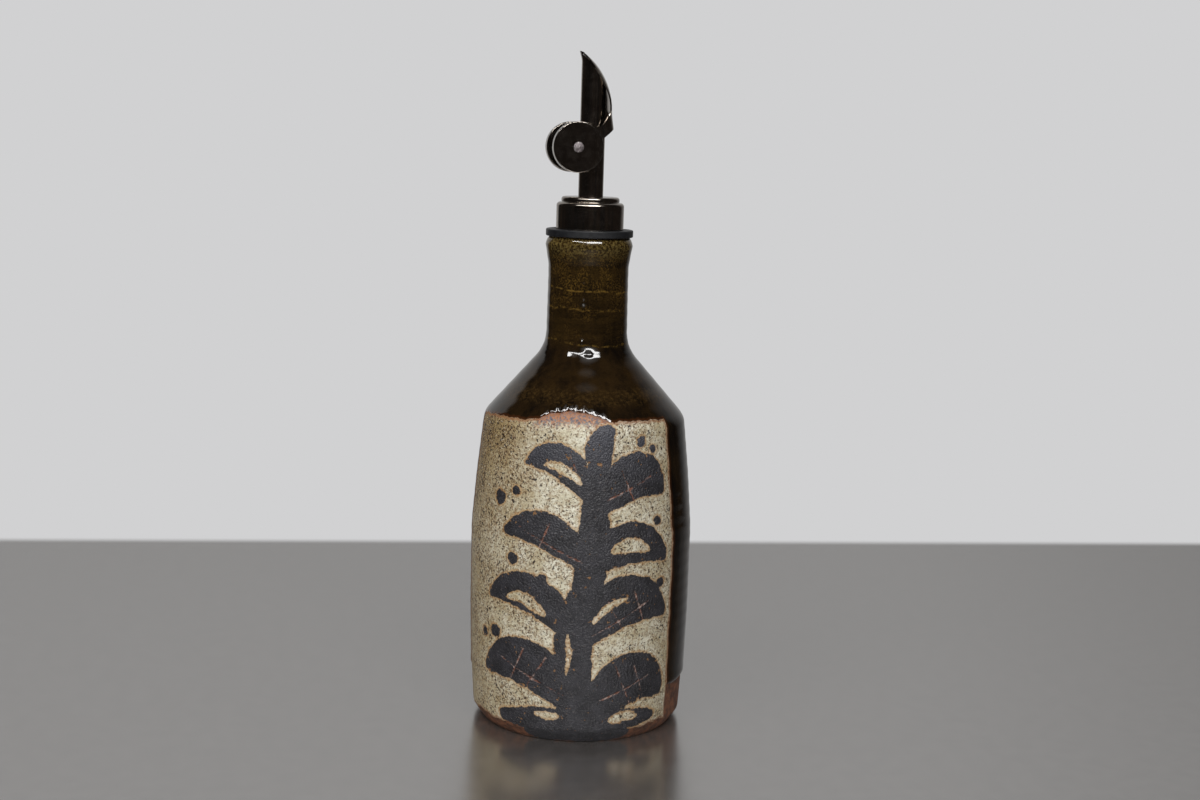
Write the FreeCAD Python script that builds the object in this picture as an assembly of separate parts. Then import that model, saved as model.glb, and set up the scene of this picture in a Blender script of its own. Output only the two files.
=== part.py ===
import FreeCAD, Part
import math
import os

# Stoneware oil bottle with a weighted-flap pourer.
# Frame: millimetres, +Z up, origin at the middle of the foot, on the table.
# The pourer is symmetrical about the XZ plane. Its drip lip points to -X, the flap
# opens towards +X, and the flap's hinge line runs along Y.

V = FreeCAD.Vector
UP = V(0, 0, 1)
ALONG_Y = V(0, 1, 0)

# ---- Driving dimensions ----

# Bottle, thrown in one piece: outside radii and heights.
FOOT_R = 32.0
FOOT_BEVEL_R = 35.5
FOOT_BEVEL_H = 3.5
BELLY_R = 36.95
BELLY_LOW_H = 38.0
BELLY_TOP_H = 66.0
FLANK_R = 35.5
FLANK_H = 84.0
SHOULDER_R = 33.35
SHOULDER_H = 103.3
NECK_R = 13.3
NECK_FOOT_R = 13.5
NECK_FOOT_H = 125.8
LIP_R = 14.5
LIP_H = 161.9
WALL = 4.2
FLOOR_T = 6.2
BORE_R = 10.0
FOOT_RECESS_R = 27.0
FOOT_RECESS_H = 1.2

# Rubber stopper.
FLANGE_R = 14.35
FLANGE_BASE_H = 162.0
FLANGE_T = 2.3
PLUG_TOP_R = 9.5
PLUG_END_R = 8.3
PLUG_L = 21.0
RIB_BITE = 0.15
RIB_COUNT = 3
BOSS_R = 9.7
BOSS_L = 6.4

# Metal cap over the stopper.
CAP_R = 11.1
CAP_SKIRT_H = 8.8
COLLAR_R = 9.55
COLLAR_H = 1.8
CAP_ROUND = 1.2

# Spout tube.
TUBE_R = 4.1
TUBE_WALL = 0.6
TUBE_END_H = 138.0
FLARE_H = 218.9
FLARE_OUT = 0.75
TIP_R = 21.8

# The closed flap and the mouth that it covers follow one arc about ARC_X, ARC_H.
ARC_X = -16.0
ARC_H = 202.9
ARC_R = 22.0
SHEET = 0.5
SEAT_GAP = 0.12
COVER_HALF_W = 4.5
DOME_CROWN = 1.3
FLAT_CROWN = 0.7

# Yoke: the lower end of the flap, folded round the tube into two arms.
YOKE_R = 5.1
YOKE_LEAN = 0.16
YOKE_H = 197.6
ARM_TAB_R = 4.2

# Hinge and counterweights.
PIVOT_H = 194.5
PIVOT_R = 0.8
PIVOT_GAP = 0.05
WEIGHT_X = -5.9
WEIGHT_H = 190.9
WEIGHT_R = 8.2
WEIGHT_T = 3.2
RIVET_R = 1.0
RIVET_HEAD_R = 1.65
RIVET_HEAD_H = 0.5

FIT = 0.03

os.makedirs("parts", exist_ok=True)


def on_section(r, z):
    """A point of a turned outline, on the +X side of the axis."""
    return V(r, 0, z)


def rounded_outline(corners, place=on_section):
    """A closed wire through (a, b, radius) corners, with a tangent arc at each round one."""
    points = [place(a, b) for a, b, _ in corners]
    radii = [radius for _, _, radius in corners]
    count = len(points)
    entries = []
    exits = []
    middles = []
    for i in range(count):
        point = points[i]
        back = (points[i - 1] - point).normalize()
        ahead = (points[(i + 1) % count] - point).normalize()
        if radii[i] == 0:
            entries.append(point)
            exits.append(point)
            middles.append(None)
            continue
        half_angle = back.getAngle(ahead) / 2
        reach = radii[i] / math.tan(half_angle)
        bisector = (back + ahead).normalize()
        centre = point + bisector * (radii[i] / math.sin(half_angle))
        entries.append(point + back * reach)
        exits.append(point + ahead * reach)
        middles.append(centre - bisector * radii[i])
    edges = []
    for i in range(count):
        if middles[i] is not None:
            edges.append(Part.Arc(entries[i], middles[i], exits[i]).toShape())
        edges.append(Part.LineSegment(exits[i], entries[(i + 1) % count]).toShape())
    return Part.Wire(edges)


def turned(corners):
    """A solid turned about Z from the outline of its half section."""
    return Part.Face(rounded_outline(corners)).revolve(V(0, 0, 0), UP, 360)


def rod(radius, y_from, y_to, x, z):
    """A cylinder along Y."""
    return Part.makeCylinder(radius, y_to - y_from, V(x, y_from, z), ALONG_Y)


def both_sides(shape):
    """The shape and its mirror image across the XZ plane."""
    return shape, shape.mirror(V(0, 0, 0), ALONG_Y)


# ---- Bottle ----

def make_bottle():
    """Hollow pot: bevelled foot, slow belly, straight shoulder, waisted neck, thick lip."""
    cone_slope = (SHOULDER_R - NECK_FOOT_R) / (NECK_FOOT_H - SHOULDER_H)
    cone_offset = WALL * math.sqrt(1 + cone_slope ** 2)
    inner_neck_foot_h = NECK_FOOT_H - (cone_offset + BORE_R - NECK_FOOT_R) / cone_slope
    outside = [
        (FOOT_R, 0, 0.6),
        (FOOT_BEVEL_R, FOOT_BEVEL_H, 1.6),
        (BELLY_R - 0.5, BELLY_LOW_H / 2, 120),
        (BELLY_R, BELLY_LOW_H, 260),
        (BELLY_R, BELLY_TOP_H, 60),
        (FLANK_R, FLANK_H, 260),
        (SHOULDER_R, SHOULDER_H, 7),
        (NECK_FOOT_R, NECK_FOOT_H, 13),
        (NECK_R, LIP_H - 15, 12),
        (NECK_R, LIP_H - 9.3, 14),
        (LIP_R, LIP_H - 2.6, 1.8),
        (LIP_R - 0.8, LIP_H, 1.0),
    ]
    inside = [
        (BORE_R + 0.9, LIP_H, 0.8),
        (BORE_R, LIP_H - 3.5, 4),
        (BORE_R, inner_neck_foot_h, 5),
        (SHOULDER_R - WALL, SHOULDER_H - 1.8, 6),
        (FLANK_R - WALL, FLANK_H, 260),
        (BELLY_R - WALL, BELLY_LOW_H + 12, 200),
        (FOOT_BEVEL_R - WALL, FLOOR_T, 7),
        (0, FLOOR_T - 0.4, 0),
    ]
    underside = [
        (0, FOOT_RECESS_H, 0),
        (FOOT_RECESS_R, FOOT_RECESS_H, 0.5),
        (FOOT_RECESS_R + 1.2, 0, 0),
    ]
    return turned(outside + inside + underside)


# ---- Stopper ----

def make_stopper():
    """Rubber plug with sealing ribs, a wide flange and a boss inside the cap, bored for the tube."""
    flange_top = FLANGE_BASE_H + FLANGE_T
    plug_end = LIP_H - PLUG_L
    profile = [
        (TUBE_R + FIT, plug_end, 0),
        (PLUG_END_R, plug_end, 0.6),
        (PLUG_TOP_R, LIP_H - 1.5, 0),
        (PLUG_TOP_R + 1.0, FLANGE_BASE_H, 0),
        (FLANGE_R, FLANGE_BASE_H, 0.35),
        (FLANGE_R, flange_top, 0.35),
        (BOSS_R, flange_top, 0),
        (BOSS_R, flange_top + BOSS_L, 0.6),
        (TUBE_R + FIT, flange_top + BOSS_L, 0),
    ]
    stopper = turned(profile)
    spacing = 5.0
    for i in range(RIB_COUNT):
        h = plug_end + 4.0 + i * spacing
        rib = [
            (TUBE_R + 1.0, h, 0),
            (BORE_R + RIB_BITE, h + 1.0, 0.3),
            (BORE_R + RIB_BITE, h + 1.8, 0.3),
            (TUBE_R + 1.0, h + 2.0, 0),
        ]
        stopper = stopper.fuse(turned(rib))
    return stopper.removeSplitter()


# ---- Cap ----

def make_cap():
    """Turned metal cap: a straight skirt over the stopper's boss, and a rounded collar on top."""
    base = FLANGE_BASE_H + FLANGE_T
    step = base + CAP_SKIRT_H
    room_r = BOSS_R + FIT
    room_top = base + BOSS_L + FIT
    return turned([
        (room_r, base, 0),
        (CAP_R, base, 0.25),
        (CAP_R, step, CAP_ROUND),
        (COLLAR_R - 0.3, step, 0.25),
        (COLLAR_R, step + 0.4, 0.2),
        (COLLAR_R, step + COLLAR_H, 0.9),
        (TUBE_R + FIT, step + COLLAR_H, 0),
        (TUBE_R + FIT, room_top, 0),
        (room_r, room_top, 0),
    ])


# ---- Flap cover ----

def arc_station(angle_deg):
    """The crown point and outward direction of the closed flap, at an angle above +X."""
    angle = math.radians(angle_deg)
    outward = V(math.cos(angle), 0, math.sin(angle))
    return V(ARC_X, 0, ARC_H) + outward * ARC_R, outward


def front_x(z):
    """X of the yoke's front, which leans out a little towards its lower edge."""
    return ARC_X + ARC_R + YOKE_LEAN * (ARC_H - z)


def low_station(z):
    return V(front_x(z), 0, z), V(1, 0, 0)


def sheet_section(station, half_width, crown):
    """Cross-section of the sheet: a bent strip, bowed outwards by crown over its width."""
    origin, outward = station
    outer_r = (half_width ** 2 + crown ** 2) / (2 * crown)
    half_angle = math.atan2(half_width, outer_r - crown)

    def at(radius, angle):
        depth = radius * math.cos(angle) - outer_r
        return origin + outward * depth + ALONG_Y * (radius * math.sin(angle))

    outer = [at(outer_r, a) for a in (-half_angle, 0, half_angle)]
    inner = [at(outer_r - SHEET, a) for a in (half_angle, 0, -half_angle)]
    return Part.Wire([
        Part.Arc(*outer).toShape(),
        Part.LineSegment(outer[2], inner[0]).toShape(),
        Part.Arc(*inner).toShape(),
        Part.LineSegment(inner[2], outer[0]).toShape(),
    ])


def seat_section(station, half_width, crown):
    """Cross-section of the space that the closed flap and its way out take from the tube."""
    origin, outward = station
    outer_r = (half_width ** 2 + crown ** 2) / (2 * crown)
    seat_r = outer_r - SHEET - SEAT_GAP
    reach = half_width + 0.6
    half_angle = math.asin(reach / seat_r)

    def at(radius, angle):
        depth = radius * math.cos(angle) - outer_r
        return origin + outward * depth + ALONG_Y * (radius * math.sin(angle))

    seat = [at(seat_r, a) for a in (-half_angle, 0, half_angle)]
    out_right = origin + outward * 6 + ALONG_Y * reach
    out_left = origin + outward * 6 - ALONG_Y * reach
    return Part.Wire([
        Part.Arc(*seat).toShape(),
        Part.LineSegment(seat[2], out_right).toShape(),
        Part.LineSegment(out_right, out_left).toShape(),
        Part.LineSegment(out_left, seat[0]).toShape(),
    ])


def smooth_step(t):
    """Eases from 0 to 1 as t goes from 0 to 1."""
    t = min(max(t, 0), 1)
    return t * t * (3 - 2 * t)


def cover_crown(angle_deg):
    """Bow of the cover over its width: domed on the mouth, flatter towards the yoke."""
    return FLAT_CROWN + (DOME_CROWN - FLAT_CROWN) * smooth_step((angle_deg - 6) / 20)


def cover_sections(section, from_angle):
    """Sections down the arc, from its top end to the level where its tangent is upright."""
    steps = 13
    angles = [from_angle * (1 - i / steps) for i in range(steps)]
    return [section(arc_station(a), COVER_HALF_W, cover_crown(a)) for a in angles]


def yoke_sections():
    """Sections where the flat strip curls round the tube, down to the half-round yoke."""
    steps = 9
    sections = []
    for i in range(steps + 1):
        share = i / steps
        z = ARC_H + (YOKE_H - ARC_H) * share
        crown = FLAT_CROWN + (YOKE_R - FLAT_CROWN) * share ** 1.25
        half_width = COVER_HALF_W + (YOKE_R - COVER_HALF_W) * math.sin(share * math.pi / 2)
        sections.append(sheet_section(low_station(z), half_width, crown))
    sections.append(sheet_section(low_station(YOKE_H - 7), YOKE_R, YOKE_R))
    return sections


def lower_edge_z(x):
    """Height of the yoke's slanting lower edge."""
    return YOKE_H - 0.5 - 0.8 * (front_x(YOKE_H) - x)


def make_flap_cover():
    """One stamped sheet: a domed cover for the mouth, curling into a yoke with two flat arms."""
    sections = cover_sections(sheet_section, 62) + yoke_sections()
    cover = Part.makeLoft(sections, True, True)

    # Round the top end in plan, so that it stays inside the drip lip.
    end_x = 0.95
    corner_block = Part.makeBox(12, 16, 30, V(end_x - 12, -8, ARC_H))
    end_round = Part.makeCylinder(COVER_HALF_W + 0.05, 40, V(end_x, 0, ARC_H - 5), UP)
    cover = cover.cut(corner_block.cut(end_round))

    # Trim the yoke along its slanting lower edge.
    left, right = -12.0, 12.0
    below = [
        V(left, -8, lower_edge_z(left)),
        V(right, -8, lower_edge_z(right)),
        V(right, -8, lower_edge_z(left) - 20),
        V(left, -8, lower_edge_z(left) - 20),
    ]
    wedge = Part.Face(Part.makePolygon(below + below[:1])).extrude(ALONG_Y * 16)
    cover = cover.cut(wedge)

    # The arms run back from the yoke to round tabs behind the weights.
    overlap = 0.15
    arm_top = YOKE_H + 0.15
    front_top_x = front_x(YOKE_H) - YOKE_R + overlap
    front_low_x = front_x(YOKE_H - 4) - YOKE_R + overlap
    outline = [
        (front_top_x, arm_top),
        (-1.2, arm_top - 0.9),
        (WEIGHT_X, WEIGHT_H + ARM_TAB_R),
        (WEIGHT_X, WEIGHT_H - ARM_TAB_R),
        (-2.0, lower_edge_z(-2.0)),
        (front_low_x, lower_edge_z(front_low_x)),
    ]
    inner_y = YOKE_R - SHEET
    points = [V(x, inner_y, z) for x, z in outline]
    arm = Part.Face(Part.makePolygon(points + points[:1])).extrude(ALONG_Y * SHEET)
    arm = arm.fuse(rod(ARM_TAB_R, inner_y, YOKE_R, WEIGHT_X, WEIGHT_H))
    arm = arm.cut(rod(RIVET_R + FIT, 0, YOKE_R + 1, WEIGHT_X, WEIGHT_H))
    arm = arm.cut(rod(PIVOT_R + FIT, 0, YOKE_R + 1, 0, PIVOT_H))
    return cover.fuse(list(both_sides(arm))).removeSplitter()


# ---- Spout tube ----

def make_tube():
    """Drawn tube with a flared drip lip, its mouth cut to the flap's curve, and two hinge holes."""
    bore_r = TUBE_R - TUBE_WALL
    top = ARC_H + ARC_R
    lean = FLARE_OUT / (TIP_R - FLARE_H + ARC_H - 3)
    rise = top - FLARE_H
    tube = turned([
        (bore_r, TUBE_END_H, 0),
        (TUBE_R, TUBE_END_H, 0),
        (TUBE_R, FLARE_H, 4),
        (TUBE_R + lean * rise, top, 0),
        (bore_r + lean * rise, top, 0),
        (bore_r, FLARE_H, 4),
    ])
    over = Part.makeBox(20, 20, 30, V(-10, -10, ARC_H))
    over = over.cut(rod(TIP_R, -12, 12, ARC_X, ARC_H))
    tube = tube.cut(over)
    tube = tube.cut(Part.makeLoft(cover_sections(seat_section, 56), True, True))
    holes = rod(PIVOT_R + PIVOT_GAP, -8, 8, 0, PIVOT_H)
    return tube.cut(holes)


# ---- Hinge pins, weights and rivets ----

def make_pivot():
    """Short pin held in an arm and turning in the tube's wall."""
    return rod(PIVOT_R, TUBE_R - TUBE_WALL - 0.15, YOKE_R, 0, PIVOT_H)


def make_weight():
    """Solid round counterweight with softened rims, bored for its rivet."""
    disc = rod(WEIGHT_R, YOKE_R, YOKE_R + WEIGHT_T, WEIGHT_X, WEIGHT_H)
    disc = disc.makeFillet(0.3, disc.Edges)
    return disc.cut(rod(RIVET_R + FIT, 0, 12, WEIGHT_X, WEIGHT_H))


def make_rivet():
    """Rivet through weight and arm, with a low domed head outside."""
    face_y = YOKE_R + WEIGHT_T
    shank = rod(RIVET_R, YOKE_R - SHEET, face_y + 0.1, WEIGHT_X, WEIGHT_H)
    dome_r = (RIVET_HEAD_R ** 2 + RIVET_HEAD_H ** 2) / (2 * RIVET_HEAD_H)
    ball = Part.makeSphere(dome_r, V(WEIGHT_X, face_y + RIVET_HEAD_H - dome_r, WEIGHT_H))
    head = ball.common(rod(RIVET_HEAD_R + 1, face_y, face_y + 2, WEIGHT_X, WEIGHT_H))
    return shank.fuse(head).removeSplitter()


# ---- Build and write ----

nodes = {
    "bottle": make_bottle(),
    "stopper": make_stopper(),
    "cap": make_cap(),
    "spout_tube": make_tube(),
    "flap_cover": make_flap_cover(),
}
for name, make in (("pivot", make_pivot), ("weight", make_weight), ("rivet", make_rivet)):
    back, front = both_sides(make())
    nodes[name + "_front"] = front
    nodes[name + "_back"] = back

for name, shape in nodes.items():
    solids = shape.Solids
    solid = solids[0] if len(solids) == 1 else shape
    solid.exportStep("parts/" + name + ".step")
    box = solid.BoundBox
    print(name, "solids", len(solids), "valid", solid.isValid(),
          "mm3", round(solid.Volume, 2),
          "z", round(box.ZMin, 2), round(box.ZMax, 2),
          "x", round(box.XMin, 2), round(box.XMax, 2))
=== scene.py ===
import math

import bmesh
import bpy
import numpy as np
from mathutils import Matrix, Vector


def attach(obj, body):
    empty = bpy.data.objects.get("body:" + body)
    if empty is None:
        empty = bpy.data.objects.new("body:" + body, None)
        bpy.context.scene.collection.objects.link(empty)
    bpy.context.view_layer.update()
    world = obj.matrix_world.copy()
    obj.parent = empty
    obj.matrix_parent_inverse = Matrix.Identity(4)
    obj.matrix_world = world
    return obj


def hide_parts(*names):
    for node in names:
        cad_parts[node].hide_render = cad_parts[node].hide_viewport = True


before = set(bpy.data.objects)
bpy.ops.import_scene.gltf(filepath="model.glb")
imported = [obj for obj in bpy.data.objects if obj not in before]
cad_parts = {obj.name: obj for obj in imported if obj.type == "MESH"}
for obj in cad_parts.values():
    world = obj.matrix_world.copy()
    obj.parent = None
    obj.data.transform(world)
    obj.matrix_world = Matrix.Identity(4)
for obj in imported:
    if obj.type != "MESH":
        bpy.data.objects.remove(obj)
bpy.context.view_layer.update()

# ---- Pot: the turned shape ----
# A stoneware bottle thrown in one piece, with a flat foot, upright flanks, a sloping shoulder and
# a narrow neck with a swollen lip. It is spun here from one outline, wall and hollow together.
# Sizes are in millimetres and turns in degrees, counted from the front.
MM = 0.001
FOOT_REST_R = 28.2
HEEL_R, HEEL_Z = 35.5, 3.5
BELLY_R, BELLY_LOW, BELLY_HIGH = 36.95, 38.0, 66.0
FLANK_TOP_R, FLANK_TOP_Z = 35.5, 84.0
SHOULDER_R, SHOULDER_Z = 33.35, 103.3
NECK_R, NECK_Z = 13.5, 125.8
LIP_R, LIP_Z = 14.5, 159.5
MOUTH_R, MOUTH_Z = 10.9, 161.9
BORE_R = 10.0
FLOOR_Z = 5.8
UNDERSIDE_Z = 1.2
ARC_STEP = math.radians(9)
STRAIGHT_ON = 1e-4
SAME_PLACE = 1e-6


def rounded_profile(corners):
    """Points along a line through (radius, height, rounding) corners, with the corners rounded."""
    places = [Vector(corner[:2]) for corner in corners]
    points = [places[0]]
    for before, place, after, corner in zip(places, places[1:], places[2:], corners[1:]):
        into = (place - before).normalized()
        out = (after - place).normalized()
        turn = into.angle_signed(out)
        rounding = corner[2]
        if abs(turn) < STRAIGHT_ON or rounding == 0:
            points.append(place)
            continue
        start = place - into * rounding * math.tan(abs(turn) / 2)
        side = Vector((into.y, -into.x)) * math.copysign(1, turn)
        centre = start + side * rounding
        steps = max(2, int(abs(turn) / ARC_STEP) + 1)
        for step in range(steps + 1):
            spoke = start - centre
            spoke.rotate(Matrix.Rotation(-turn * step / steps, 2))
            points.append(centre + spoke)
    points.append(places[-1])
    return points


def spin_profile(name, points, columns):
    """A turned mesh: a closed line of (radius, height) points spun once round the Z axis."""
    builder = bmesh.new()
    rim = [builder.verts.new((point[0] * MM, 0, point[1] * MM)) for point in points]
    line = [builder.edges.new(pair) for pair in zip(rim, rim[1:] + rim[:1])]
    bmesh.ops.spin(builder, geom=rim + line, cent=(0, 0, 0), axis=(0, 0, 1),
                   angle=math.tau, steps=columns, use_merge=True)
    bmesh.ops.remove_doubles(builder, verts=builder.verts, dist=SAME_PLACE)
    bmesh.ops.recalc_face_normals(builder, faces=builder.faces)
    mesh = bpy.data.meshes.new(name)
    builder.to_mesh(mesh)
    builder.free()
    mesh.shade_smooth()
    piece = bpy.data.objects.new(name, mesh)
    bpy.context.collection.objects.link(piece)
    return piece


pot_outline = rounded_profile([
    (FOOT_REST_R, 0, 0), (32.0, 0, 0.6), (HEEL_R, HEEL_Z, 1.6), (36.45, 19, 120),
    (BELLY_R, BELLY_LOW, 260), (BELLY_R, BELLY_HIGH, 60), (FLANK_TOP_R, FLANK_TOP_Z, 260),
    (SHOULDER_R, SHOULDER_Z, 7), (NECK_R, NECK_Z, 13), (13.3, 146.9, 12), (13.3, 152.6, 14),
    (LIP_R, LIP_Z, 1.6), (13.4, MOUTH_Z, 0.7), (MOUTH_R, MOUTH_Z, 0.8),
])
pot_inside = rounded_profile([
    (MOUTH_R, MOUTH_Z, 0), (BORE_R, 158.4, 4), (BORE_R, 123.4, 5), (29.15, 101.5, 6),
    (31.3, FLANK_TOP_Z, 260), (32.75, 50, 200), (31.3, 6.2, 7), (0, FLOOR_Z, 0),
])
pot_underside = [Vector((0, UNDERSIDE_Z)), Vector((26.6, UNDERSIDE_Z)), Vector((27.4, 0.9))]

# The outside is cut into even rows, closer together where it carries relief.
COLUMNS = 292
COARSE_ROW = 1.0
FINE_ROW, FINE_LOW, FINE_HIGH = 0.55, 4.0, 109.5
FINEST_ROW, FINEST_LOW, FINEST_HIGH = 0.4, 122.5, 149.5
WALK_STEP = 0.05
lengths = np.cumsum([0] + [(b - a).length for a, b in zip(pot_outline, pot_outline[1:])])
walk = np.arange(0, lengths[-1], WALK_STEP)
walk_r = np.interp(walk, lengths, [point.x for point in pot_outline])
walk_z = np.interp(walk, lengths, [point.y for point in pot_outline])
row_points = [Vector((FOOT_REST_R, 0))]
last_row = 0.0
for travelled, row_r, row_z in zip(walk, walk_r, walk_z):
    if FINE_LOW < row_z < FINE_HIGH:
        spacing = FINE_ROW
    elif FINEST_LOW < row_z < FINEST_HIGH:
        spacing = FINEST_ROW
    else:
        spacing = COARSE_ROW
    if travelled - last_row >= spacing:
        row_points.append(Vector((row_r, row_z)))
        last_row = travelled
pot = spin_profile("glazed_pot", row_points + pot_inside + pot_underside, COLUMNS)

# The columns within EVEN_SPAN of the painted side's middle close up to within DRAWN_SPAN of it.
PANEL_MIDDLE = -24.0
EVEN_SPAN, DRAWN_SPAN = 130, 76
SKIN_LEEWAY = 0.9
corners = np.empty(len(pot.data.vertices) * 3)
pot.data.vertices.foreach_get("co", corners)
corners = corners.reshape(-1, 3) / MM
radius = np.hypot(corners[:, 0], corners[:, 1])
height = corners[:, 2]
even_turn = np.degrees(np.arctan2(corners[:, 0], -corners[:, 1]))
from_middle = (even_turn - PANEL_MIDDLE + 180) % 360 - 180
from_middle = np.interp(from_middle, [-180, -EVEN_SPAN, EVEN_SPAN, 180],
                        [-180, -DRAWN_SPAN, DRAWN_SPAN, 180])
turn = np.radians(from_middle + PANEL_MIDDLE)
skin_radius = np.interp(height, [point.y for point in row_points], [point.x for point in row_points])
outside = (np.abs(radius - skin_radius) < SKIN_LEEWAY) & (height < MOUTH_Z - 0.3)

# ---- Pot: the panel, the slip painting and the relief ----
# A satin cream panel covers the front, painted in charcoal slip with a leafy stem whose veins are
# scratched through to the clay. The rest is dipped in a thick gloss glaze that stands proud of the
# panel in a bead and stops in a roll above the bare clay at the foot.

# Each field is a distance in millimetres to an edge, positive inside. Across is measured round
# the belly from the panel's middle.
ACROSS_R = 36.9
PANEL_LEFT, PANEL_RIGHT, PANEL_LEAN = 45.0, 44.3, 0.012
PANEL_FOOT = 4.6
GLAZE_FOOT = 15.6
ARCH_MIDDLE = -18.0
NO_STROKE = -20.0
across = np.radians(from_middle) * ACROSS_R
from_arch = from_middle + PANEL_MIDDLE - ARCH_MIDDLE
panel_top = np.interp(from_arch, [-79, -53, -29, -22, -13, 0, 13, 19, 23, 37, 67],
                      [103.4, 104.4, 104.7, 105.3, 107.3, 108.2, 107.2, 105.9, 105.3, 105.4, 104.8])
panel_top += 0.14 * np.sin(across * 0.9) + 0.10 * np.sin(across * 2.3 + 1)
left_gap = PANEL_LEFT + across + 0.5 * np.sin(height * 0.13) + 0.25 * np.sin(height * 0.45 + 2)
right_gap = PANEL_RIGHT - across + 0.35 * np.sin(height * 0.11 + 1) + 0.2 * np.sin(height * 0.5)
right_gap -= PANEL_LEAN * height
bottom_gap = height - PANEL_FOOT - 0.35 * np.sin(across * 0.35) - 0.2 * np.sin(across * 1.1)
panel_mm = np.minimum.reduce([left_gap, right_gap, bottom_gap, panel_top - height])
glaze_mm = height - GLAZE_FOOT - 0.5 * np.sin(turn * 3) - 0.25 * np.sin(turn * 11 + 1)
slip_mm = np.full(len(radius), NO_STROKE)
DABS = 44


def stroke_gap(start, middle, end, half_width, taper=0.7):
    """Distance inside a curved brush stroke, which is widest about its middle."""
    gap = np.full(len(radius), NO_STROKE)
    for t in np.linspace(0, 1, DABS):
        spot = [(1 - t) ** 2 * a + 2 * t * (1 - t) * b + t * t * c for a, b, c in zip(start, middle, end)]
        width = half_width * math.sin(math.pi * (0.06 + 0.9 * t)) ** taper
        gap = np.maximum(gap, width - np.hypot(across - spot[0], height - spot[1]))
    return gap


# Strokes are (start, bend, end, half width), some with a taper, and places are (across, height).
leaves = [
    ((8, 12), (-8, 35), (-26, 22), 8.0), ((12, 9), (27, 31), (39, 16), 8.6),
    ((7, 36), (-6, 57), (-24, 47), 6.4), ((8, 34), (22, 57), (39, 43), 8.4),
    ((12, 58), (-2, 77), (-18, 69), 5.8), ((10, 58), (25, 74), (39, 61), 6.8),
    ((13, 79), (3, 99), (-11, 92), 5.4), ((14, 78), (28, 96), (38, 83), 7.4),
    ((14, 90), (11, 99), (19, 103), 4.4),
]
stems = [
    ((10, 0), (4, 28), (9, 50), 6.4, 0.25), ((8, 42), (15, 64), (12, 82), 5.4, 0.25),
    ((12, 74), (12, 90), (17, 99), 4.0, 0.3), ((-18, 7), (8, 9), (36, 8), 4.4, 0.4),
    ((-8, 3), (10, 1), (26, 3), 4.0, 0.4),
]
berries = [
    ((-22, 34.5), 2.3), ((-15, 60), 1.9), ((-22, 79), 2.4), ((-15, 82), 1.7), ((38, 52.5), 1.7),
    ((36, 73), 1.6), ((30, 99), 1.8), ((35, 96.5), 1.3), ((-28, 33), 1.5), ((-4, 55), 1.5),
    ((24, 28.5), 1.0),
]
for stroke in leaves + stems:
    slip_mm = np.maximum(slip_mm, stroke_gap(*stroke))
for spot, half_width in berries:
    slip_mm = np.maximum(slip_mm, stroke_gap(spot, spot, spot, half_width))
windows_wiped_out = [
    ((-3, 43), (-10, 50), (-17, 47), 2.1), ((19, 64.5), (26, 68), (32, 64), 2.4),
    ((8, 86), (2, 92), (-5, 91.5), 1.7), ((20, 8), (25, 10), (30, 8.5), 1.9),
    ((-6, 10), (-1, 9), (3, 9.5), 1.3), ((13, 41), (18, 48), (24, 48.5), 1.2),
    ((5, 24), (6, 31), (5, 38), 0.9),
]
for stroke in windows_wiped_out:
    slip_mm = np.minimum(slip_mm, -stroke_gap(*stroke))

SCRATCH_HALF_WIDTH = 0.4
NO_FIELD = -9.0
scratches = [
    ((4, 17), (-20, 27)), ((-2, 29), (-9, 18)), ((-10, 31), (-15, 20)), ((16, 15), (34, 22)),
    ((21, 27), (27, 13)), ((28, 26), (32, 15)), ((13, 37), (34, 48)), ((18, 48), (24, 37)),
    ((27, 51), (31, 40)), ((17, 81), (34, 88)), ((22, 90), (27, 79)), ((9, 61), (-13, 71)),
    ((-2, 73), (-6, 63)), ((4, 95), (8, 86)),
]
scratch_mm = np.full(len(radius), NO_FIELD)
for start, end in scratches:
    along = np.subtract(end, start)
    share = ((across - start[0]) * along[0] + (height - start[1]) * along[1]) / (along @ along)
    share = np.clip(share, 0, 1)
    gap = np.hypot(across - start[0] - share * along[0], height - start[1] - share * along[1])
    scratch_mm = np.maximum(scratch_mm, SCRATCH_HALF_WIDTH - gap)

# Rust gathers under the arch. The cream turns a darker tan towards both sides: on the right this is
# painted shade, away from the light from the left, and on the left it is partly painted shade and
# partly a real warm tan. Its upper left corner is really warmer still.
ARCH_HALF_SPAN = 24
RUST_DEPTH = 5.2
arch = np.clip(1 - np.abs(from_arch) / ARCH_HALF_SPAN, 0, 1) ** 0.5
rust = np.clip(1 - (panel_top - height) / RUST_DEPTH, 0, 1) * arch
warmth_and_side_shade = 0.75 * np.clip((6 - across) / 40, 0, 1) + 0.42 * np.clip((across - 12) / 30, 0, 1)
warmth_and_side_shade += 0.6 * np.clip((height - 66) / 40, 0, 1) * np.clip((2 - across) / 22, 0, 1)

# Relief in millimetres. The panel lies lower than the gloss glaze and the bare clay lower still.
PANEL_DEPTH = 0.22
CLAY_DEPTH = 0.62
GLAZE_ROLL = 0.12
SLIP_THICKNESS = 0.1
RIDGE_RISE = 0.03
OUT_OF_ROUND = 0.08
in_panel = np.clip(panel_mm / 0.7 + 0.5, 0, 1)
in_glaze = np.clip(glaze_mm / 0.8, 0, 1)
glaze_roll = GLAZE_ROLL * np.exp(-((glaze_mm - 1.6) / 1.5) ** 2)
relief = -PANEL_DEPTH * in_panel - (1 - in_panel) * (CLAY_DEPTH * (1 - in_glaze) - glaze_roll)
relief += SLIP_THICKNESS * np.clip(slip_mm / 0.6, 0, 1) * in_panel

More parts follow.
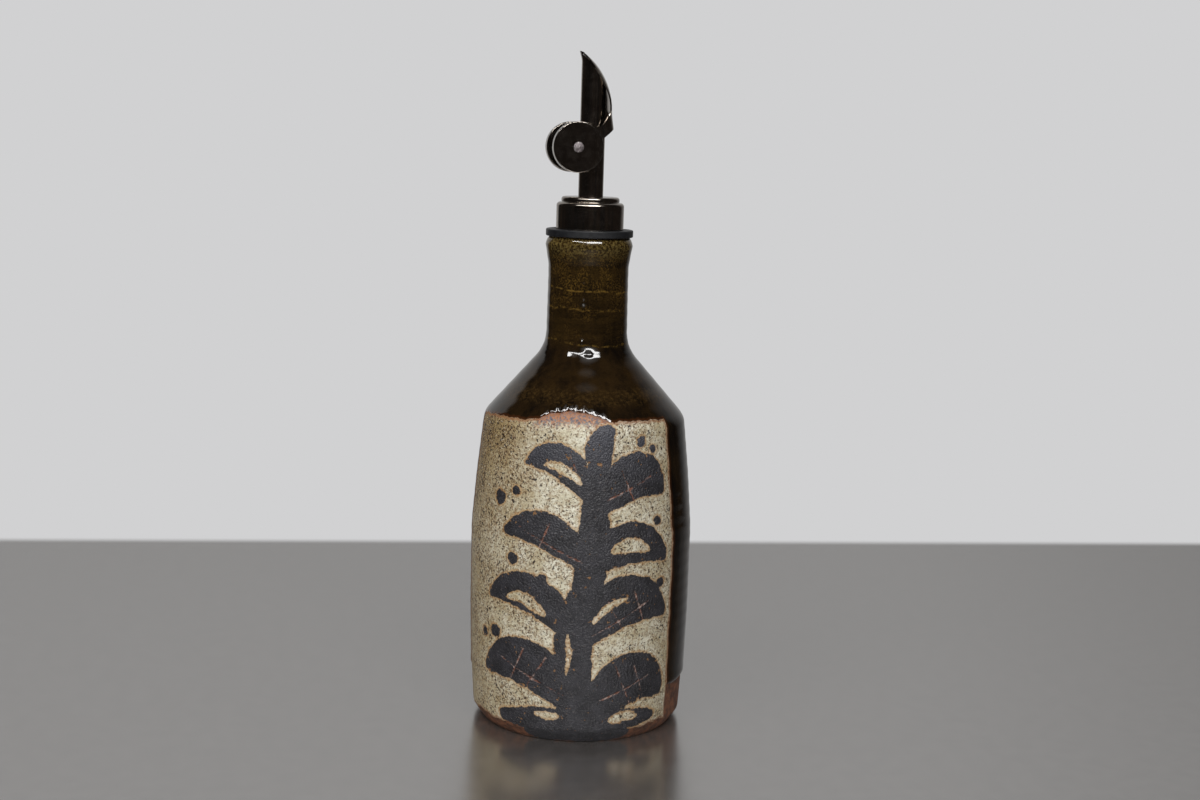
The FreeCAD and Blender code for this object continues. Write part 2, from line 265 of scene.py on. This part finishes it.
# Throwing ridges climb the wall, and the pot is slightly out of round.
ridges = RIDGE_RISE * np.sin(height * 1.45 + 0.6 * np.sin(turn)) * np.clip((height - 20) / 20, 0, 1)
relief -= 0.05 + ridges
relief -= OUT_OF_ROUND * (1 + np.sin(turn * 2 + height * 0.02)) * np.clip(height / 20, 0, 1)

# The glaze bead along the arch wanders and swells, and a thin roll rides on its outer side.
bead_drift = 0.35 * np.sin(across * 1.7) + 0.25 * np.sin(across * 3.9 + 1) + 0.15 * np.sin(across * 7.3)
bead_height = 0.66 + 0.10 * np.sin(across * 2.6 + 2) + 0.08 * np.sin(across * 5.9)
bead = bead_height * np.exp(-((panel_mm + 1.7 + bead_drift) / 1.5) ** 2)
second_drift = 0.5 * np.sin(across * 1.3 + 2) + 0.2 * np.sin(across * 4.1)
bead += 0.16 * np.exp(-((panel_mm + 2.3 + second_drift) / 0.55) ** 2)
bead_span = np.clip(1 - np.abs(from_arch - 1) / ARCH_HALF_SPAN, 0, 1) ** 0.3
relief += bead * bead_span * (height > 90)

# Drops of glaze that set on the neck: (degrees round, height, width, length, rise). The last is
# a dimple.
neck_drops = [
    (-17, 148.2, 0.5, 0.6, 0.26), (-17, 141.3, 0.8, 1.0, 0.55), (-17.5, 128.4, 0.7, 0.8, 0.45),
    (-7.5, 124.8, 1.3, 1.0, 0.34), (-23, 124.6, 1.5, 1.6, -0.2),
]
degrees_round = np.degrees(turn)
for drop_turn, drop_height, width, length, rise in neck_drops:
    aside = np.radians(degrees_round - drop_turn) * radius
    relief += rise * np.exp(-(aside / width) ** 2 - ((height - drop_height) / length) ** 2)

# The relief dies away at the foot and at the mouth.
fade = np.clip(height / 3, 0, 1) * np.clip((MOUTH_Z - 0.4 - height) / 2, 0, 1)
radius = np.where(outside, radius + relief * fade, radius)
corners[:, 0] = radius * np.sin(turn)
corners[:, 1] = -radius * np.cos(turn)
pot.data.vertices.foreach_set("co", (corners * MM).ravel())
fields = {"panel_mm": panel_mm, "glaze_mm": glaze_mm, "slip_mm": slip_mm, "scratch_mm": scratch_mm,
          "rust": rust, "warmth_and_side_shade": warmth_and_side_shade}
for name, values in fields.items():
    layer = pot.data.attributes.new(name, "FLOAT", "POINT")
    layer.data.foreach_set("value", np.where(outside, values, NO_FIELD if name.endswith("mm") else 0.0))
pot.data.update()

# ---- Pot: clay, glazes and slip ----
# One material for the fired surface: cream satin glaze with iron specks, charcoal slip with
# pinholes, bare red-brown clay, and a gloss glaze that is near black where it is thick and
# breaks to brown and olive where it runs thin on the neck and lip.


def tone(red, green, blue):
    """Linear colour of a paint-chart colour given as 0 to 255."""
    def linear(value):
        value = value / 255
        return value / 12.92 if value <= 0.04045 else ((value + 0.055) / 1.055) ** 2.4
    return (linear(red), linear(green), linear(blue), 1)


def build_grain_group():
    """The group "two tone grain": a fine noise that mixes two colours, for every plain finish."""
    group = bpy.data.node_groups.new("two tone grain", "ShaderNodeTree")
    sockets = group.interface
    sockets.new_socket("Place", in_out="INPUT", socket_type="NodeSocketVector")
    for name, value in (("Grains per metre", 1000.0), ("Detail", 3.0), ("Low", 0.3), ("High", 0.7)):
        sockets.new_socket(name, in_out="INPUT", socket_type="NodeSocketFloat").default_value = value
    for name in ("First", "Second"):
        sockets.new_socket(name, in_out="INPUT", socket_type="NodeSocketColor")
    sockets.new_socket("Color", in_out="OUTPUT", socket_type="NodeSocketColor")
    sockets.new_socket("Share", in_out="OUTPUT", socket_type="NodeSocketFloat")
    enter = group.nodes.new("NodeGroupInput").outputs
    leave = group.nodes.new("NodeGroupOutput").inputs
    noise = group.nodes.new("ShaderNodeTexNoise")
    share = group.nodes.new("ShaderNodeMapRange")
    share.interpolation_type = "SMOOTHSTEP"
    colour = group.nodes.new("ShaderNodeMix")
    colour.data_type = "RGBA"
    for start, end in ((enter["Place"], noise.inputs["Vector"]),
                       (enter["Grains per metre"], noise.inputs["Scale"]),
                       (enter["Detail"], noise.inputs["Detail"]),
                       (noise.outputs["Fac"], share.inputs["Value"]),
                       (enter["Low"], share.inputs["From Min"]),
                       (enter["High"], share.inputs["From Max"]),
                       (share.outputs["Result"], colour.inputs[0]),
                       (enter["First"], colour.inputs[6]),
                       (enter["Second"], colour.inputs[7]),
                       (colour.outputs[2], leave["Color"]),
                       (share.outputs["Result"], leave["Share"])):
        group.links.new(start, end)
    return group


def lay_node(tree, kind, inputs=(), **settings):
    """Any node in a tree, with its settings made and its inputs linked or set."""
    node = tree.nodes.new(kind)
    for setting, value in settings.items():
        setattr(node, setting, value)
    for socket, value in dict(inputs).items():
        if isinstance(value, bpy.types.NodeSocket):
            tree.links.new(value, node.inputs[socket])
        else:
            node.inputs[socket].default_value = value
    return node


grain_group = build_grain_group()
MM_PER_METRE = 1000.0


class Finish:
    """A procedural material and short ways to lay its nodes."""

    def __init__(self, name, **shader_values):
        self.material = bpy.data.materials.new(name)
        self.material.use_nodes = True
        self.tree = self.material.node_tree
        self.shader = self.tree.nodes["Principled BSDF"]
        for socket, value in shader_values.items():
            self.shader.inputs[socket.replace("_", " ")].default_value = value
        self.place = self.tree.nodes.new("ShaderNodeTexCoord").outputs["Object"]

    def lay(self, kind, inputs=(), **settings):
        """Any node of this material."""
        return lay_node(self.tree, kind, inputs, **settings)

    def noise(self, size_mm, detail=2.0, roughness=0.5, stretch=(1, 1, 1)):
        """Cloudy noise whose blots are about size_mm across."""
        scale = [MM_PER_METRE * share for share in stretch]
        spread = self.lay("ShaderNodeMapping", {"Vector": self.place, "Scale": scale})
        return self.lay("ShaderNodeTexNoise", {"Vector": spread.outputs[0], "Scale": 1 / size_mm,
                                               "Detail": detail, "Roughness": roughness}).outputs["Fac"]

    def grain(self, size_mm, first, second, detail=3.0, low=0.3, high=0.7):
        """The shared two tone grain, with its own colours and size."""
        values = {"Place": self.place, "Grains per metre": MM_PER_METRE / size_mm, "Detail": detail,
                  "Low": low, "High": high, "First": first, "Second": second}
        return self.lay("ShaderNodeGroup", values, node_tree=grain_group).outputs

    def sum(self, operation, first, second=0.0, third=0.0):
        """One step of arithmetic."""
        return self.lay("ShaderNodeMath", {0: first, 1: second, 2: third}, operation=operation).outputs[0]

    def product(self, *factors):
        """All the factors multiplied together."""
        result = factors[0]
        for factor in factors[1:]:
            result = self.sum("MULTIPLY", result, factor)
        return result

    def ramp(self, value, low, high, out_low=0.0, out_high=1.0):
        """A smooth step from out_low at low to out_high at high."""
        return self.lay("ShaderNodeMapRange", {"Value": value, "From Min": low, "From Max": high,
                                               "To Min": out_low, "To Max": out_high},
                        interpolation_type="SMOOTHSTEP").outputs["Result"]

    def mix(self, share, first, second):
        """The first colour turning into the second as share goes from 0 to 1."""
        return self.lay("ShaderNodeMix", {0: share, 6: first, 7: second}, data_type="RGBA").outputs[2]

    def measure(self, name):
        """A field stored on the mesh."""
        return self.lay("ShaderNodeAttribute", attribute_name=name).outputs["Fac"]

    def wear(self, socket, value):
        """Feeds a socket of the shader."""
        self.tree.links.new(value, self.shader.inputs[socket])

    def bump(self, height, distance, strength=1.0):
        """Tilts the light on the surface as if height, times distance in metres, stood on it."""
        node = self.lay("ShaderNodeBump", {"Height": height, "Distance": distance, "Strength": strength})
        self.wear("Normal", node.outputs[0])


fired = Finish("glazed stoneware", Roughness=0.5, IOR=1.5)
place_on_pot = fired.lay("ShaderNodeSeparateXYZ", {0: fired.place}).outputs
level = fired.sum("MULTIPLY", place_on_pot["Z"], MM_PER_METRE)
across_x = fired.sum("MULTIPLY", place_on_pot["X"], MM_PER_METRE)
ragged = fired.sum("ADD", fired.ramp(fired.noise(2.6, 3), 0.2, 0.8, -1.1, 1.1),
                   fired.ramp(fired.noise(0.7, 2), 0.2, 0.8, -0.5, 0.5))
panel_edge = fired.sum("MULTIPLY_ADD", ragged, 0.1, fired.measure("panel_mm"))
slip_edge = fired.sum("MULTIPLY_ADD", ragged, 0.38, fired.measure("slip_mm"))
scratch_edge = fired.sum("MULTIPLY_ADD", ragged, 0.16, fired.measure("scratch_mm"))
glaze_edge = fired.sum("MULTIPLY_ADD", ragged, 0.3, fired.measure("glaze_mm"))
panel = fired.ramp(panel_edge, -0.12, 0.12)
slip = fired.ramp(slip_edge, -0.1, 0.15)
broken = fired.ramp(fired.noise(2.2, 2), 0.38, 0.5)
scratch = fired.product(fired.ramp(scratch_edge, 0.0, 0.3), slip, broken)
glazed = fired.ramp(glaze_edge, -0.1, 0.25)
# A field of real warm tan mixed with painted shade at the panel's sides.
warm_and_side_shade = fired.measure("warmth_and_side_shade")

# Cream satin glaze.
cream = fired.mix(fired.ramp(fired.noise(7, 4, 0.6), 0.3, 0.7), tone(204, 201, 184), tone(176, 168, 142))
# Painted shade, with some real warm tan: the cream darkens towards the panel's sides.
cream = fired.mix(fired.sum("MULTIPLY", warm_and_side_shade, 0.85), cream, tone(136, 118, 80))
speck_clouds = fired.ramp(fired.noise(9, 2), 0.3, 0.7, -0.03, 0.03)
speck_density = fired.sum("MULTIPLY_ADD", warm_and_side_shade, 0.045, speck_clouds)
# Iron specks bleed through where a fine noise rises above a level: (size, detail, level,
# softness, strength, colour).
for size_mm, detail, speck_level, soft, strength, colour in (
        (1.4, 2.5, 0.55, 0.14, 0.55, tone(132, 110, 74)),
        (0.62, 2.0, 0.585, 0.06, 0.75, tone(96, 72, 44)),
        (0.66, 0.6, 0.668, 0.05, 0.9, tone(50, 35, 23)),
        (1.1, 0.8, 0.715, 0.03, 0.95, tone(30, 20, 15))):
    rise = fired.sum("ADD", fired.noise(size_mm, detail, 0.55), speck_density)
    speck = fired.ramp(rise, speck_level - soft, speck_level + soft, 0, strength)
    cream = fired.mix(speck, cream, colour)
cream = fired.mix(fired.ramp(fired.noise(0.8, 2), 0.38, 0.28, 0, 0.35), cream, tone(222, 218, 202))
rust_grain = fired.grain(0.7, tone(144, 92, 58), tone(76, 72, 84), 2.0, 0.42, 0.6)["Color"]
rusty = fired.sum("ADD", fired.measure("rust"), fired.noise(0.9, 3, 0.7))
cream = fired.mix(fired.ramp(rusty, 0.52, 1.0, 0, 0.9), cream, rust_grain)
border = fired.sum("SUBTRACT", fired.ramp(panel_edge, -0.3, 0.3), fired.ramp(panel_edge, 0.3, 1.2))
cream = fired.mix(fired.product(border, 0.7), cream, tone(118, 72, 38))
cream = fired.mix(fired.ramp(slip_edge, -1.0, -0.1, 0, 0.6), cream, tone(150, 112, 66))

# Charcoal slip: painted sheen lightens it near the top, its pebbles carry painted shade and highlight,
# and it is pinholed to tan, more so along its edges.
charcoal = fired.grain(5, tone(45, 44, 48), tone(31, 30, 33))["Color"]
# Painted sheen: lighter, bluer grey towards the top, where the lamps above shine on it.
charcoal = fired.mix(fired.ramp(level, 84, 106, 0, 0.7), charcoal, tone(68, 69, 76))
pebbles = fired.noise(0.62, 1.6, 0.5)
# Painted shade in the pebbles' hollows and painted highlight on their crests, which the bump raises.
charcoal = fired.mix(fired.ramp(pebbles, 0.42, 0.26, 0, 0.6), charcoal, tone(22, 20, 21))
charcoal = fired.mix(fired.ramp(pebbles, 0.6, 0.74, 0, 0.35), charcoal, tone(104, 98, 96))
hole_clouds = fired.ramp(fired.noise(8, 2), 0.3, 0.7, -0.06, 0.05)
hole_rise = fired.sum("ADD", fired.noise(1.5, 2, 0.5), hole_clouds)
hole_rise = fired.sum("ADD", hole_rise, fired.ramp(slip_edge, 1.6, 0.1, 0, 0.06))
hole = fired.ramp(hole_rise, 0.69, 0.73)
charcoal = fired.mix(fired.product(hole, 0.9), charcoal, tone(126, 92, 58))
scratched = fired.grain(1.5, tone(104, 64, 48), tone(138, 118, 110), 2.0, 0.45, 0.6)["Color"]
charcoal = fired.mix(scratch, charcoal, scratched)

# Bare clay at the foot.
clay = fired.grain(2.5, tone(64, 38, 25), tone(106, 64, 40), 4.0, 0.35, 0.65)["Color"]
clay = fired.mix(fired.ramp(fired.noise(0.6, 3, 0.7), 0.45, 0.7, 0, 0.35), clay, tone(126, 88, 58))
clay = fired.mix(fired.ramp(fired.noise(0.8, 2, 0.6), 0.62, 0.68, 0, 0.7), clay, tone(34, 22, 17))

# Gloss glaze: near black on the flanks, with browner clouds on the shoulder.
dark_clouds = fired.ramp(fired.noise(6, 4, 0.6, (1, 1, 0.35)), 0.35, 0.7)
dark = fired.mix(dark_clouds, tone(9, 6, 4), tone(30, 20, 8))
shoulder = fired.product(fired.ramp(level, 105, 114), fired.ramp(level, 126, 117))
shoulder_cloud = fired.ramp(fired.noise(5, 4, 0.7), 0.35, 0.65, 0.1, 0.6)
dark = fired.mix(fired.product(shoulder, shoulder_cloud), dark, tone(38, 26, 10))
low_shoulder = fired.product(fired.ramp(level, 108.5, 111), fired.ramp(level, 116, 112.5))
low_grain = fired.ramp(fired.noise(1.1, 4, 0.7), 0.42, 0.68, 0, 0.55)
dark = fired.mix(fired.product(low_shoulder, low_grain), dark, tone(62, 46, 22))

# On the neck it thins to brown in rings, to olive in patches of fine grain, and in short runs.
on_neck = fired.ramp(level, 125, 130)
ring = fired.noise(3.0, 3, 0.55, (0.12, 0.12, 1))
dark = fired.mix(fired.product(on_neck, fired.ramp(ring, 0.4, 0.68, 0.1, 0.6)), dark, tone(41, 29, 11))
patches = fired.ramp(fired.noise(6, 2), 0.38, 0.6, 0.2, 1)
patches = fired.product(fired.ramp(level, 127, 150, 0.15, 0.8), patches)
neck_grain = fired.ramp(fired.noise(0.55, 3, 0.65), 0.46, 0.62, 0, 0.7)
dark = fired.mix(fired.product(on_neck, patches, neck_grain), dark, tone(88, 66, 26))
runs = fired.ramp(fired.noise(1.6, 3, 0.6, (1, 1, 0.16)), 0.4, 0.7, 0, 0.5)
dark = fired.mix(fired.product(fired.ramp(level, 134, 154), runs), dark, tone(40, 29, 11))

# Thin olive rings where the glaze broke over a throwing ridge: (height, strength).
wander = fired.ramp(fired.noise(9, 2), 0.3, 0.7, -0.6, 0.6)
wander = fired.sum("MULTIPLY_ADD", across_x, 0.05, wander)
for ring_height, strength in ((144.7, 0.6), (138.8, 0.38), (127.6, 0.4)):
    gap = fired.sum("ABSOLUTE", fired.sum("SUBTRACT", fired.sum("ADD", level, wander), ring_height))
    gaps_in_ring = fired.ramp(fired.noise(1.4, 3), 0.4, 0.6)
    there = fired.product(fired.ramp(gap, 0.5, 0.05, 0, strength), gaps_in_ring)
    dark = fired.mix(there, dark, tone(104, 80, 34))

# The lip is speckled, dark dots lie over the neck, and thin edges turn to rust.
lip_speckle = fired.ramp(fired.noise(0.7, 3, 0.65), 0.42, 0.62, 0.0, 0.85)
dark = fired.mix(fired.product(fired.ramp(level, 153.5, 159.5), lip_speckle), dark, tone(92, 78, 42))
dark_dots = fired.ramp(fired.noise(0.75, 3, 0.6), 0.54, 0.68, 0, 0.7)
dark = fired.mix(fired.product(fired.ramp(level, 122, 140), dark_dots), dark, tone(12, 8, 4))
dark = fired.mix(fired.ramp(fired.measure("glaze_mm"), 1.6, 0.2, 0, 0.6), dark, tone(60, 34, 16))
dark = fired.mix(fired.ramp(panel_edge, -1.1, -0.2, 0, 0.7), dark, tone(58, 30, 12))

# Laid over each other: clay, gloss glaze, cream panel, slip.
slip_here = fired.product(slip, fired.ramp(panel_edge, -5.0, -4.2))
surface = fired.mix(panel, fired.mix(glazed, clay, dark), cream)
fired.wear("Base Color", fired.mix(slip_here, surface, charcoal))
gloss = fired.product(glazed, fired.sum("SUBTRACT", 1.0, panel), fired.sum("SUBTRACT", 1.0, slip_here))
matt = fired.sum("SUBTRACT", 1.0, gloss)
matt_roughness = fired.sum("MULTIPLY_ADD", panel, -0.28, 0.78)
worn_pebbles = fired.product(slip_here, fired.ramp(pebbles, 0.3, 0.7))
matt_roughness = fired.sum("MULTIPLY_ADD", worn_pebbles, -0.1, matt_roughness)
fired.wear("Roughness", fired.sum("MULTIPLY_ADD", gloss, 0.07, fired.product(matt, matt_roughness)))

# Fine relief: grain and pebbles where it is matt, and long soft waves in the gloss.
coarse_grain = fired.product(fired.noise(0.9, 3, 0.6), fired.sum("MULTIPLY_ADD", slip_here, -0.6, 1.0))
matt_height = fired.sum("SUBTRACT", coarse_grain, fired.product(scratch, 0.8))
slip_pebbles = fired.product(fired.ramp(pebbles, 0.25, 0.75), slip_here, 0.5)
slip_relief = fired.sum("SUBTRACT", slip_pebbles, fired.product(hole, slip_here, 0.7))
matt_height = fired.sum("ADD", matt_height, slip_relief)
matt_share = fired.sum("MULTIPLY_ADD", gloss, -0.98, 1.0)
small_waves = fired.product(fired.noise(2.4, 2), 0.02)
gloss_waves = fired.sum("MULTIPLY_ADD", fired.noise(14, 2), 0.35, small_waves)
surface_height = fired.sum("ADD", fired.product(matt_height, matt_share),
                           fired.product(gloss_waves, gloss))
fired.bump(surface_height, 0.0005, 0.9)

pot.data.materials.append(fired.material)
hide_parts("bottle")
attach(pot, "pot")

# ---- Stopper ----
# A moulded plug of matt black rubber, pushed into the neck. Its flange rests on the lip and its
# ribs grip the glaze. Handling leaves it a little polished in patches.


def dress(names, finish):
    """Gives carried-over pieces a finish."""
    for name in names:
        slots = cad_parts[name].data.materials
        slots.clear()
        slots.append(finish.material)


rubber = Finish("stopper rubber")
rubber.wear("Base Color", rubber.grain(1.2, tone(14, 15, 17), tone(22, 23, 26))["Color"])
rubber.wear("Roughness", rubber.ramp(rubber.noise(4, 3), 0.3, 0.7, 0.42, 0.6))
rubber.bump(rubber.noise(0.35, 2), 0.00004)
dress(["stopper"], rubber)

# ---- Cap and spout tube ----
# A turned cap, whose skirt fits tightly over the stopper's boss, with a rounded collar on top, and
# a drawn tube pushed down through both. They are steel plated in black nickel, bright, with faint
# polishing haze.
metal = Finish("black nickel", Metallic=1.0)
metal.wear("Base Color", metal.grain(3, tone(138, 130, 122), tone(156, 148, 139), 2.0)["Color"])
metal.wear("Roughness", metal.ramp(metal.noise(2.2, 4, 0.6), 0.35, 0.75, 0.13, 0.21))
metal.bump(metal.noise(5, 2), 0.00006)
dress(["cap", "spout_tube"], metal)

# ---- Flap with its counterweights ----
# A stamped cover closes the slanted mouth of the tube. It folds round the tube into two arms,
# which turn on pivots and carry a round weight each, so that it swings shut. All are plated as
# the tube is, and tumbling softened the edges first.
EDGE_SOFTENING = 0.14 * MM
SHARP_TURN = math.radians(32)
tumbled_parts = ["flap_cover", "weight_front", "weight_back"]
dress(tumbled_parts + ["pivot_front", "pivot_back"], metal)
for name in tumbled_parts:
    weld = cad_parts[name].modifiers.new("joined", "WELD")
    weld.merge_threshold = SAME_PLACE
    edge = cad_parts[name].modifiers.new("softened edge", "BEVEL")
    edge.width = EDGE_SOFTENING
    edge.segments = 3
    edge.limit_method = "ANGLE"
    edge.angle_limit = SHARP_TURN
    edge.harden_normals = True

# ---- Rivets ----
# Two plain steel rivets fix the weights to the flap's arms. Their heads are set by a hammer, so
# they are dull and lightly pitted.
rivet = Finish("rivet steel", Metallic=1.0)
rivet_grain = rivet.grain(0.45, tone(120, 112, 114), tone(176, 168, 168), 3.0, 0.35, 0.65)
rivet.wear("Base Color", rivet_grain["Color"])
rivet.wear("Roughness", rivet.ramp(rivet_grain["Share"], 0, 1, 0.55, 0.38))
rivet.bump(rivet_grain["Share"], 0.0001)
dress(["rivet_front", "rivet_back"], rivet)

# ---- Table top ----
# A satin grey metal table, whose back edge lies a little way behind the bottle. It mirrors the
# foot softly and isn't part of the object. Its sides and front fade out, and its back edge is
# just soft.
TABLE_TURN = math.radians(-5.1)
TABLE_HALF_WIDTH = 0.50
TABLE_FRONT = -0.50
TABLE_BACK = 0.244
TABLE_FADE = 0.075
BACK_EDGE_FADE = 0.012
builder = bmesh.new()
bmesh.ops.create_grid(builder, x_segments=1, y_segments=1, size=1)
to_table = (Matrix.Rotation(TABLE_TURN, 4, "Z")
            @ Matrix.Translation((0, (TABLE_FRONT + TABLE_BACK) / 2, 0))
            @ Matrix.Diagonal((TABLE_HALF_WIDTH, (TABLE_BACK - TABLE_FRONT) / 2, 1, 1)))
bmesh.ops.transform(builder, matrix=to_table, verts=builder.verts)
table_mesh = bpy.data.meshes.new("table top")
builder.to_mesh(table_mesh)
builder.free()
table_top = bpy.data.objects.new("table top", table_mesh)
bpy.context.collection.objects.link(table_top)
table = Finish("table top", Roughness=0.24, IOR=5.5)
table.wear("Base Color", table.grain(6, tone(70, 66, 63), tone(60, 56, 53), 4.0)["Color"])
square_on = table.lay("ShaderNodeMapping", {"Vector": table.place, "Rotation": (0, 0, -TABLE_TURN)})
table_place = table.lay("ShaderNodeSeparateXYZ", {0: square_on.outputs[0]}).outputs
aside = table.sum("ABSOLUTE", table_place["X"])
table.wear("Alpha", table.product(
    table.ramp(aside, TABLE_HALF_WIDTH, TABLE_HALF_WIDTH - TABLE_FADE),
    table.ramp(table_place["Y"], TABLE_BACK, TABLE_BACK - BACK_EDGE_FADE),
    table.ramp(table_place["Y"], TABLE_FRONT, TABLE_FRONT + TABLE_FADE)))
table_mesh.materials.append(table.material)

# ---- Studio ----
# A pale backdrop for the camera, a plain dim room for soft light, and for gloss a pale wall
# behind the bottle and a dark warm room in front of it.
world = bpy.data.worlds.new("studio")
bpy.context.scene.world = world
world.use_nodes = True


def studio_node(kind, inputs=(), **settings):
    """Any node of the world."""
    return lay_node(world.node_tree, kind, inputs, **settings)


def reckon(operation, first, second=0.0, third=0.0, clamp=False):
    """One step of arithmetic in the world."""
    return studio_node("ShaderNodeMath", {0: first, 1: second, 2: third}, operation=operation,
                       use_clamp=clamp).outputs[0]


def blend(share, first, second):
    """The first light turning into the second as share goes from 0 to 1."""
    return studio_node("ShaderNodeMix", {0: share, 6: first, 7: second}, data_type="RGBA").outputs[2]


BACKDROP = tone(209, 209, 210)
DIM_ROOM = (0.30, 0.30, 0.31, 1)
PALE_WALL = (0.50, 0.495, 0.49, 1)
DARK_ROOM = (0.012, 0.011, 0.011, 1)
WARM_UPRIGHTS = (0.036, 0.027, 0.021, 1)
CEILING = (1.0, 0.985, 0.97, 1)
CEILING_AT = (-0.093, -0.663, 0.743)
CEILING_EDGE = 0.88
direction = studio_node("ShaderNodeTexCoord").outputs["Generated"]
split = studio_node("ShaderNodeSeparateXYZ", {0: direction}).outputs
facing_back = reckon("MULTIPLY_ADD", split["Y"], 0.98, reckon("MULTIPLY", split["X"], 0.19))
facing_back = reckon("MULTIPLY_ADD", split["Z"], 0.38, facing_back)

# The wall's edge is sharp on the left and soft on the right.
to_right = reckon("ADD", 0.5, split["X"], clamp=True)
edge_start = reckon("MULTIPLY_ADD", to_right, -0.10, 0.70)
edge_width = reckon("MULTIPLY_ADD", to_right, 0.42, 0.06)
wall = reckon("DIVIDE", reckon("SUBTRACT", facing_back, edge_start), edge_width, clamp=True)

# Noise drawn out upwards stands for the shelves and door frames of the room.
drawn_out = studio_node("ShaderNodeVectorMath", {0: direction, 1: (1, 1, 0.08)}, operation="MULTIPLY")
uprights = studio_node("ShaderNodeTexNoise", {"Vector": drawn_out.outputs[0], "Scale": 5.5,
                                              "Detail": 3.0, "Roughness": 0.6}).outputs["Fac"]
uprights = studio_node("ShaderNodeMapRange",
                       {"Value": uprights, "From Min": 0.42, "From Max": 0.66}).outputs["Result"]
room = blend(uprights, DARK_ROOM, WARM_UPRIGHTS)

# A pale patch of ceiling round the lamps, which the metal's rounded edges pick up.
near_ceiling = studio_node("ShaderNodeVectorMath", {0: direction, 1: CEILING_AT},
                           operation="DOT_PRODUCT").outputs["Value"]
ceiling = reckon("MULTIPLY", reckon("SUBTRACT", near_ceiling, CEILING_EDGE), 10.0, clamp=True)
room = blend(ceiling, room, CEILING)
ray = studio_node("ShaderNodeLightPath").outputs
seen = blend(ray["Is Glossy Ray"], DIM_ROOM, blend(wall, room, PALE_WALL))
seen = blend(ray["Is Camera Ray"], seen, BACKDROP)
world.node_tree.links.new(seen, world.node_tree.nodes["Background"].inputs["Color"])

LAMP_DISTANCE = 1.3
BOTTLE_MIDDLE = Vector((0, 0, 0.11))


def lamp(name, azimuth, elevation, width, height, power):
    """A soft lamp aimed at the bottle's middle."""
    light = bpy.data.lights.new(name, "AREA")
    light.energy = power
    light.shape = "RECTANGLE"
    light.size = width
    light.size_y = height
    carrier = bpy.data.objects.new(name, light)
    bpy.context.collection.objects.link(carrier)
    bearing = math.radians(azimuth)
    rise = math.radians(elevation)
    sideways = Vector((math.sin(bearing), -math.cos(bearing), 0))
    aim = sideways * math.cos(rise) + Vector((0, 0, math.sin(rise)))
    place = BOTTLE_MIDDLE + aim * LAMP_DISTANCE
    carrier.matrix_world = Matrix.Translation(place) @ aim.to_track_quat("Z", "Y").to_matrix().to_4x4()
    return carrier


lamp("strip lamp right", 5, 46, 0.80, 0.22, 12.0)
lamp("strip lamp left", -44, 46, 0.75, 0.08, 4.6)
window = lamp("window", -50, 25, 0.9, 0.9, 8)
window.visible_glossy = False

# ---- Camera ----
# A 50 mm lens at the height of the flap's hinge, a little to the left of the front. It looks
# slightly down, with a small lean.
camera_azimuth = math.radians(-11.0)
camera_distance = 0.550
camera_height = 0.1940
camera_pitch = math.radians(8.93)
camera_turn = math.radians(0.532)
camera_roll = math.radians(1.74)
heading = camera_azimuth - camera_turn
level_right = Vector((math.cos(heading), math.sin(heading), 0))
level_ahead = Vector((-math.sin(heading), math.cos(heading), 0))
ahead = level_ahead * math.cos(camera_pitch) - Vector((0, 0, math.sin(camera_pitch)))
upward = level_right.cross(ahead)
right = level_right * math.cos(camera_roll) + upward * math.sin(camera_roll)
up = upward * math.cos(camera_roll) - level_right * math.sin(camera_roll)
camera_place = Vector((math.sin(camera_azimuth), -math.cos(camera_azimuth), 0)) * camera_distance
camera_place.z = camera_height
camera = bpy.data.objects.new("camera", bpy.data.cameras.new("camera"))
bpy.context.collection.objects.link(camera)
bpy.context.scene.camera = camera
camera.data.lens = 50
camera.data.sensor_width = 36
camera.matrix_world = Matrix.Translation(camera_place) @ Matrix((right, up, -ahead)).transposed().to_4x4()
bpy.context.scene.view_settings.view_transform = "Standard"
